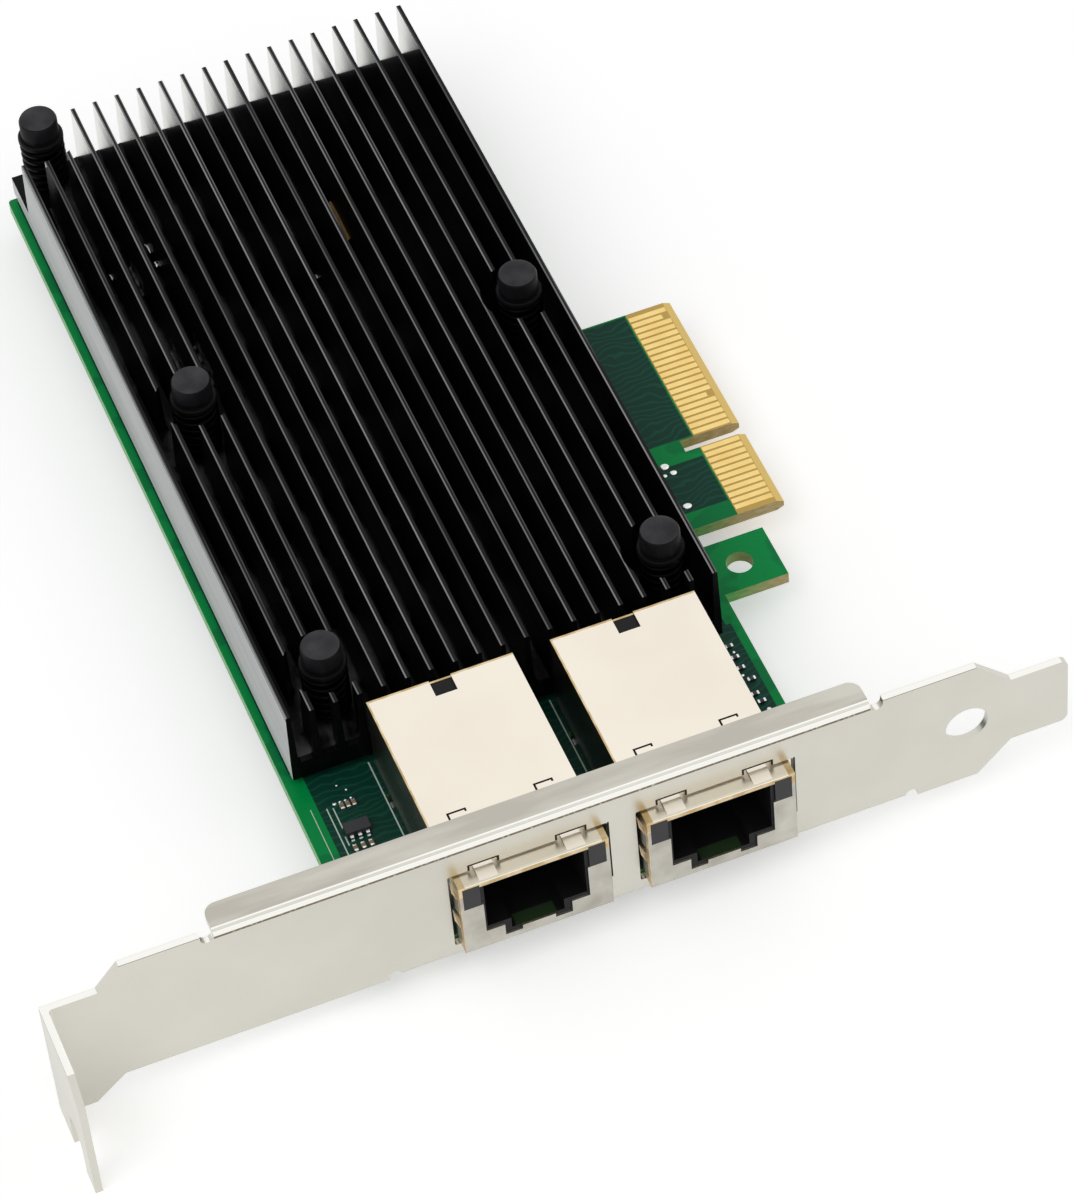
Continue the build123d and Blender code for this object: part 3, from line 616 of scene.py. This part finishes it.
FINISHES = {
    "board": board_finish(),
    "contact_gold": contact_finish(),
    "bracket_steel": bracket_finish(),
    "screw_steel": metal("screw_steel", (0.8, 0.79, 0.75), (0.66, 0.65, 0.61), 0.28, 0.08),
    "jack_metal": jack_finish(),
    "jack_plastic": housing_finish(),
    "light_window": smoked_window(),
    "solder_tin": metal("solder_tin", (0.86, 0.87, 0.86), (0.68, 0.69, 0.68), 0.22, 0.12, 700.0),
    "heatsink_black": heatsink_finish(),
    "pin_plastic": pin_finish(),
    "spring_black": metal("spring_black", (0.004, 0.004, 0.0045), (0.002, 0.002, 0.0022), 0.34, 0.1, 500.0),
    "chip_body": plastic("chip_body", (0.045, 0.044, 0.05), (0.03, 0.03, 0.033), 0.5, 3000.0, 0.2),
    "pad_grey": plastic("pad_grey", (0.42, 0.42, 0.44), (0.33, 0.33, 0.35), 0.7, 1500.0, 0.3),
    "inductor_grey": plastic("inductor_grey", (0.12, 0.12, 0.125), (0.08, 0.08, 0.085), 0.62, 2600.0, 0.5),
    "capacitor_tan": plastic("capacitor_tan", (0.34, 0.22, 0.13), (0.25, 0.16, 0.09), 0.4, 3000.0, 0.15),
    "resistor_black": plastic("resistor_black", (0.02, 0.02, 0.022), (0.012, 0.012, 0.013), 0.3, 3000.0, 0.1),
    "crystal_metal": metal("crystal_metal", (0.78, 0.77, 0.72), (0.62, 0.61, 0.58), 0.25, 0.1),
}
for part in frame["record"]["subparts"]:
    mesh = frame["nodes"][part["node"]].data
    mesh.materials.clear()
    mesh.materials.append(FINISHES[part["material_slot"]])

# Modelling


def clear_selection():
    if bpy.context.object and bpy.context.object.mode != "OBJECT":
        bpy.ops.object.mode_set(mode="OBJECT")
    bpy.ops.object.select_all(action="DESELECT")


def select(*pieces):
    """Selects these pieces alone, the first of them active."""
    clear_selection()
    for piece in pieces:
        piece.select_set(True)
    bpy.context.view_layer.objects.active = pieces[0]


def join(*pieces):
    select(*pieces)
    bpy.ops.object.join()
    return pieces[0]


def sized(piece, x, y, z):
    """Scales a fresh primitive along each axis, and puts the scale into its mesh."""
    piece.scale = (x, y, z)
    bpy.ops.object.transform_apply(location=False, rotation=False, scale=True)
    return piece


def finish_piece(piece, name, slot, angle=35):
    """Names a piece, puts its place into its mesh, smooths it, and lets it ride on the card."""
    select(piece)
    bpy.ops.object.transform_apply(location=True, rotation=True, scale=True)
    bpy.ops.object.shade_smooth_by_angle(angle=radians(angle))
    piece.name = name
    if slot:
        if not piece.data.materials:
            piece.data.materials.append(FINISHES[slot])
    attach(piece, "root")


def twin_of(piece):
    """A copy of a piece, with a mesh of its own."""
    twin = piece.copy()
    twin.data = piece.data.copy()
    bpy.context.collection.objects.link(twin)
    return twin


def copies(piece, offsets):
    """The piece joined with copies of itself, each moved by an offset."""
    made = [piece]
    for offset in offsets:
        twin = twin_of(piece)
        twin.location = piece.location + offset
        made.append(twin)
    return join(*made)


def set_out(piece, places, z):
    """The piece and its copies at each place of the card, all at one height."""
    x0, y0 = places[0]
    piece.location = on_card(x0, y0, z)
    return copies(piece, [Vector(((x - x0) / 1000, (y - y0) / 1000, 0)) for x, y in places[1:]])


def apply_modifier(piece, kind, **values):
    select(piece)
    modifier = piece.modifiers.new(kind.lower(), kind)
    for key, value in values.items():
        setattr(modifier, key, value)
    bpy.ops.object.modifier_apply(modifier=modifier.name)


def close_holes():
    """In edit mode: fills what is open and turns every face outward."""
    bpy.ops.mesh.select_mode(type="VERT")
    bpy.ops.mesh.select_all(action="DESELECT")
    bpy.ops.mesh.select_non_manifold()
    bpy.ops.mesh.fill_holes(sides=0)
    bpy.ops.mesh.select_all(action="SELECT")
    bpy.ops.mesh.normals_make_consistent(inside=False)


def turned_form(rings, sides=32):
    """A round solid from its rings, each a height and a radius, from the bottom up."""
    clear_selection()
    bpy.ops.mesh.primitive_circle_add(vertices=sides, radius=rings[0][1] / 1000, fill_type="NGON")
    form = bpy.context.object
    bpy.ops.object.mode_set(mode="EDIT")
    for (z0, r0), (z1, r1) in zip(rings, rings[1:]):
        bpy.ops.mesh.extrude_region_move(TRANSFORM_OT_translate={"value": (0, 0, (z1 - z0) / 1000)})
        bpy.ops.transform.resize(value=(r1 / r0, r1 / r0, 1))
    close_holes()
    bpy.ops.object.mode_set(mode="OBJECT")
    for vertex in form.data.vertices:
        vertex.co.z += rings[0][0] / 1000
    return form


def outer_fin():
    """The right outer fin in one unbroken length, over the pockets beside it."""
    clear_selection()
    bpy.ops.mesh.primitive_cube_add(size=1)
    height = FIN_TOP - BASE_TOP + 0.01
    length = HEATSINK_FAR - HEATSINK_NEAR
    fin = sized(bpy.context.object, OUTER_FIN_ROOT / 1000, length / 1000, height / 1000)
    bpy.ops.object.mode_set(mode="EDIT")
    bpy.ops.mesh.select_mode(type="FACE")
    bpy.ops.mesh.select_all(action="DESELECT")
    bpy.ops.object.mode_set(mode="OBJECT")
    for face in fin.data.polygons:
        face.select = face.normal.z > 0.9
    bpy.ops.object.mode_set(mode="EDIT")
    bpy.ops.transform.resize(value=(OUTER_FIN_NARROWING, 1, 1))
    bpy.ops.object.mode_set(mode="OBJECT")
    last = FIN_FIRST + (FIN_COUNT - 1) * FIN_PITCH
    fin.location = on_card(last, (HEATSINK_NEAR + HEATSINK_FAR) / 2, (BASE_TOP + FIN_TOP) / 2)
    finish_piece(fin, "outer_fin", "heatsink_black", 20)


# Heights and radii of a push pin, from the barb's tip to the cap's crown
PIN_RINGS = (
    (-1.9, 0.9), (-0.35, 1.9), (-0.05, 1.9), (0.0, 1.42), (COLLAR_BOTTOM, 1.42), (COLLAR_BOTTOM, 2.7),
    (COLLAR_BOTTOM + 0.1, 2.79), (COLLAR_BOTTOM + 0.6, 2.79), (COLLAR_BOTTOM + 0.8, 2.65),
    (COLLAR_BOTTOM + 0.8, 2.4), (COLLAR_BOTTOM + 0.95, 2.35), (16.0, 2.35), (16.28, 2.2), (16.4, 1.9),
    (16.4, 0.9), (16.36, 0.5),
)


def collared_pins():
    """Push pins with a tall cap over a wide collar, a shank and a barb with a saw cut."""
    pin = turned_form(PIN_RINGS)
    clear_selection()
    bpy.ops.mesh.primitive_cube_add(size=1, location=(0, 0, -0.0013))
    saw = bpy.context.object
    saw.scale = (0.0007, 0.006, 0.0015)
    apply_modifier(pin, "BOOLEAN", object=saw, operation="DIFFERENCE")
    bpy.data.objects.remove(saw)
    set_out(pin, PIN_PLACES, 0)
    finish_piece(pin, "collared_pins", "pin_plastic", 40)
    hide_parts("push_pins")


def pin_springs():
    """Coiled springs between the heatsink's base and the pins' collars."""
    wire, turns, mean_radius, steps = 0.75, 6, 2.375, 28
    height = COLLAR_BOTTOM - BASE_TOP
    clear_selection()
    bpy.ops.mesh.primitive_circle_add(vertices=10, radius=wire / 2000, rotation=(pi / 2, 0, 0))
    coil = bpy.context.object
    bpy.ops.object.transform_apply(location=False, rotation=True)
    for vertex in coil.data.vertices:
        vertex.co.x += mean_radius / 1000
        vertex.co.z += wire / 2000
    apply_modifier(
        coil, "SCREW", angle=2 * pi, iterations=turns, steps=steps, render_steps=steps,
        screw_offset=(height - wire) / turns / 1000, use_merge_vertices=False,
    )
    bpy.ops.object.mode_set(mode="EDIT")
    close_holes()
    bpy.ops.object.mode_set(mode="OBJECT")
    set_out(coil, PIN_PLACES, BASE_TOP)
    finish_piece(coil, "coil_springs", "spring_black", 60)
    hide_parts("push_pin_springs")


def chip_part(size, body, along):
    """A small ceramic part: rounded body with tinned caps at its two ends, standing at the origin."""
    clear_selection()
    bpy.ops.mesh.primitive_cube_add(size=1)
    part = sized(bpy.context.object, *[value / 1000 for value in size])
    bpy.ops.object.mode_set(mode="EDIT")
    reach = size[along] / 2000
    normal = [0, 0, 0]
    normal[along] = 1
    for cut in (-0.5, 0.5):
        point = [0, 0, 0]
        point[along] = cut * reach
        bpy.ops.mesh.select_all(action="SELECT")
        bpy.ops.mesh.bisect(plane_co=point, plane_no=normal)
    bpy.ops.object.mode_set(mode="OBJECT")
    part.data.materials.append(FINISHES[body])
    part.data.materials.append(FINISHES["solder_tin"])
    apply_modifier(part, "BEVEL", width=min(size) / 8000, segments=2, limit_method="ANGLE")
    for face in part.data.polygons:
        face.material_index = 1 if abs(face.center[along]) > reach * 0.5 else 0
    for vertex in part.data.vertices:
        grown = 1.03 if abs(vertex.co[along]) > reach * 0.52 else 1.0
        for axis in range(3):
            if axis != along:
                vertex.co[axis] *= grown
    return part


def small_parts(name, node, size, body, along, places, above):
    """Copies of one small part at each place of the card, in place of a node's plain blocks."""
    part = chip_part(size, body, along)
    set_out(part, places, BOARD_TOP + size[2] / 2 if above else -size[2] / 2)
    finish_piece(part, name, body, 40)
    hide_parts(node)


def driver_leads():
    """Gull-wing leads of the six-lead chip, bent from the body's side down to the board."""
    clear_selection()
    bpy.ops.mesh.primitive_plane_add(size=1)
    width, root, setback = 0.0004, 0.00018, 0.00051
    lead = sized(bpy.context.object, width, root, 1)
    for vertex in lead.data.vertices:
        vertex.co.y -= setback
    bpy.ops.object.mode_set(mode="EDIT")
    bpy.ops.mesh.select_mode(type="EDGE")
    bpy.ops.mesh.select_all(action="DESELECT")
    bpy.ops.object.mode_set(mode="OBJECT")
    for edge in lead.data.edges:
        ends = [lead.data.vertices[n].co.y for n in edge.vertices]
        edge.select = min(ends) > -setback
    bpy.ops.object.mode_set(mode="EDIT")
    for step in ((0, 0.0001, 0.00004), (0, 0.00008, 0.0003), (0, 0.00034, 0.00006)):
        bpy.ops.mesh.extrude_region_move(TRANSFORM_OT_translate={"value": step})
    bpy.ops.object.mode_set(mode="OBJECT")
    apply_modifier(lead, "SOLIDIFY", thickness=0.00013, offset=1)
    twin = twin_of(lead)
    twin.rotation_euler = (0, 0, pi)
    select(twin)
    bpy.ops.object.transform_apply(location=False, rotation=True, scale=False)
    pitch = Vector((0.00095, 0, 0))
    for row, y in ((lead, 18.5), (twin, 20.1)):
        row.location = on_card(41.95, y, BOARD_TOP)
        copies(row, [-pitch, pitch])
    join(lead, twin)
    finish_piece(lead, "gull_wing_leads", "solder_tin", 30)
    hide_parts("driver_leads")


def solder_dome(x, y, length, width):
    """A flattened dome of solder on the board."""
    clear_selection()
    bpy.ops.mesh.primitive_circle_add(vertices=20, radius=0.5, fill_type="NGON")
    dome = bpy.context.object
    bpy.ops.object.mode_set(mode="EDIT")
    for lift, shrink in ((0.06, 0.94), (0.07, 0.78), (0.04, 0.45)):
        bpy.ops.mesh.extrude_region_move(TRANSFORM_OT_translate={"value": (0, 0, lift)})
        bpy.ops.transform.resize(value=(shrink, shrink, 1))
    close_holes()
    bpy.ops.object.mode_set(mode="OBJECT")
    sized(dome, length / 1000, width / 1000, 0.0008)
    dome.location = on_card(x, y, BOARD_TOP)
    return dome


# Each dome's place, length and width
DOMES = (
    (93.8, 55.5, 1.15, 0.95), (94.4, 54.2, 0.95, 0.7), (93.3, 54.1, 0.65, 0.5), (93.9, 48.7, 1.2, 0.85),
    (41.55, 23.9, 0.4, 0.35), (42.2, 23.9, 0.4, 0.35), (42.9, 24.0, 0.4, 0.4), (40.9, 23.9, 0.55, 0.5),
    (41.0, 15.9, 0.6, 0.5), (42.8, 25.3, 0.35, 0.35), (42.0, 26.3, 0.35, 0.35),
    (89.9, 15.9, 0.6, 0.6), (90.6, 16.4, 0.7, 0.6), (89.8, 22.2, 0.5, 0.4), (90.2, 25.8, 0.45, 0.4),
)


def solder_domes():
    pads = join(*[solder_dome(*dome) for dome in DOMES])
    finish_piece(pads, "solder_pads", "solder_tin", 50)


SLIVER_PLACE = (71.67, 105.4, 6.2)
# Each speck's place, length, width and turn
SPECKS = (
    (48.9, 110.9, 6.2, 0.5, 1.9, 0.1), (48.85, 107.6, 6.6, 0.7, 1.0, 0.3),
    (43.25, 108.3, 6.15, 0.45, 1.4, 0.15), (66.0, 97.9, 6.1, 0.45, 0.9, 0.2),
)


def mottled(name, scale, dull, bright):
    """A mottled material of two close colours."""
    material, tree, shader = new_material(name)
    grime = ramp(tree, noise(tree, place(tree), scale, 3.0), 0.3, 0.7)
    tree.links.new(mix_colour(tree, grime, dull, bright), shader.inputs["Base Color"])
    return material, shader


def orange_sliver():
    """A curled orange sliver between two fins."""
    orange, shader = mottled("orange_film", 900.0, (0.95, 0.5, 0.15), (1.0, 0.68, 0.32))
    shader.inputs["Roughness"].default_value = 0.45
    clear_selection()
    bpy.ops.mesh.primitive_grid_add(x_subdivisions=3, y_subdivisions=12, size=1)
    strip = sized(bpy.context.object, 0.00035, 0.007, 1)
    for vertex in strip.data.vertices:
        y = vertex.co.y / 0.0035
        vertex.co.z = 2.0 * vertex.co.x * (1 - 0.4 * y * y) + 0.0001 * sin(3 * y)
    apply_modifier(strip, "SOLIDIFY", thickness=0.00008, offset=1)
    strip.location = on_card(*SLIVER_PLACE)
    strip.data.materials.append(orange)
    finish_piece(strip, "orange_sliver", None, 40)


def pale_specks():
    """A few pale bits between the fins, each bent out of round."""
    pale, shader = mottled("pale_speck", 2000.0, (0.85, 0.85, 0.85), (0.97, 0.97, 0.97))
    shader.inputs["Metallic"].default_value = 1.0
    shader.inputs["Roughness"].default_value = 0.3
    specks = []
    for x, y, z, length, width, turn in SPECKS:
        clear_selection()
        bpy.ops.mesh.primitive_ico_sphere_add(subdivisions=2, radius=0.5)
        speck = bpy.context.object
        for vertex in speck.data.vertices:
            vertex.co *= 1 + 0.25 * sin(vertex.co.x * 9 + turn * 7) * cos(vertex.co.y * 8)
        speck.scale = (length / 1000, width / 1000, 0.00045)
        speck.rotation_euler = (0, 0, turn)
        bpy.ops.object.transform_apply(location=False, rotation=True, scale=True)
        speck.location = on_card(x, y, z)
        specks.append(speck)
    join(*specks)
    specks[0].data.materials.append(pale)
    finish_piece(specks[0], "pale_specks", None, 60)


# Places of the small parts on both sides of the board
CAPACITORS = [(41.5, 23.0), (42.2, 23.0), (42.9, 23.0), (40.85, 16.75), (41.8, 16.75), (42.75, 16.75)]
RESISTORS = [(90.0, 26.7), (90.0, 24.9), (90.0, 23.2), (90.5, 21.2), (90.0, 19.0), (90.3, 17.7)]
DECOUPLING = [(54.6 + 2.0 * n, y) for y in (66.0, 82.0) for n in range(10)]
COUPLING = [(94.1, 60.5 + 1.2 * n) for n in range(16)]

outer_fin()
collared_pins()
pin_springs()
for name, node, size, body, along, places, above in (
    ("chip_capacitors", "signal_capacitors", (0.5, 1.0, 0.5), "capacitor_tan", 1, CAPACITORS, True),
    ("chip_resistors", "signal_resistors", (1.0, 0.5, 0.35), "resistor_black", 0, RESISTORS, True),
    ("rear_capacitors", "decoupling_capacitors", (0.5, 1.0, 0.5), "capacitor_tan", 1, DECOUPLING, False),
    ("line_capacitors", "coupling_capacitors", (1.0, 0.5, 0.5), "capacitor_tan", 0, COUPLING, False),
):
    small_parts(name, node, size, body, along, places, above)
driver_leads()
solder_domes()
orange_sliver()
pale_specks()

# Floor, light and camera


def seen_directly(tree):
    """1 for what the camera sees, also in a reflection or through glass."""
    rays = add_node(tree, "ShaderNodeLightPath").outputs
    return either(tree, [rays["Is Camera Ray"], rays["Is Glossy Ray"], rays["Is Transmission Ray"]])


def floor():
    """A pale floor that looks white and keeps the card's shadow."""
    clear_selection()
    bpy.ops.mesh.primitive_plane_add(size=6, location=(0, 0, 0))
    ground = bpy.context.object
    ground.name = "floor"
    material = bpy.data.materials.new("floor_white")
    material.use_nodes = True
    tree = material.node_tree
    tree.nodes.clear()
    output = add_node(tree, "ShaderNodeOutputMaterial")
    seen = seen_directly(tree)
    diffuse = add_node(tree, "ShaderNodeBsdfDiffuse")
    diffuse.inputs["Color"].default_value = (0.85, 0.85, 0.85, 1)
    glow = add_node(tree, "ShaderNodeEmission")
    tree.links.new(math_node(tree, "MULTIPLY", seen, 0.42), glow.inputs["Strength"])
    added = add_node(tree, "ShaderNodeAddShader")
    tree.links.new(diffuse.outputs[0], added.inputs[0])
    tree.links.new(glow.outputs[0], added.inputs[1])
    tree.links.new(added.outputs[0], output.inputs["Surface"])
    ground.data.materials.append(material)


def sky():
    """Soft light all round, and a white background."""
    world = bpy.data.worlds.new("studio")
    world.use_nodes = True
    tree = world.node_tree
    background = tree.nodes["Background"]
    background.inputs["Color"].default_value = (1, 1, 1, 1)
    seen = seen_directly(tree)
    tree.links.new(math_node(tree, "MULTIPLY_ADD", seen, 0.5, 0.5), background.inputs["Strength"])
    bpy.context.scene.world = world


def lamp(name, where, size, power):
    """A square area lamp, turned towards the card."""
    light = bpy.data.lights.new(name, "AREA")
    light.size = size
    light.energy = power
    holder = bpy.data.objects.new(name, light)
    bpy.context.collection.objects.link(holder)
    holder.location = where
    holder.rotation_euler = (Vector(where) * -1).to_track_quat("-Z", "Y").to_euler()


def camera():
    """The photograph's view: steep, from in front and a little to the left of the bracket."""
    elevation, turn, roll = radians(49.0933), radians(-17.0706), radians(-5.7062)
    ahead = Vector((-sin(turn) * cos(elevation), cos(turn) * cos(elevation), -sin(elevation)))
    right = Vector((cos(turn), sin(turn), 0))
    up = right.cross(ahead)
    x_axis = cos(roll) * right + sin(roll) * up
    y_axis = cos(roll) * up - sin(roll) * right
    view = bpy.data.cameras.new("view")
    view.sensor_width = 36
    view.sensor_fit = "HORIZONTAL"
    view.lens = 188.52
    view.clip_start = 0.01
    holder = bpy.data.objects.new("view", view)
    bpy.context.collection.objects.link(holder)
    turned = Matrix((x_axis, y_axis, -ahead)).transposed()
    holder.matrix_world = Matrix.Translation(on_card(-51.986, -363.08, 491.314)) @ turned.to_4x4()
    bpy.context.scene.camera = holder


floor()
sky()
lamp("key_light", (-0.6, -0.4, 1.0), 0.8, 3.2)
lamp("fill_light", (0.8, -0.2, 0.9), 0.9, 1.6)
camera()
bpy.context.scene.view_settings.view_transform = "Standard"
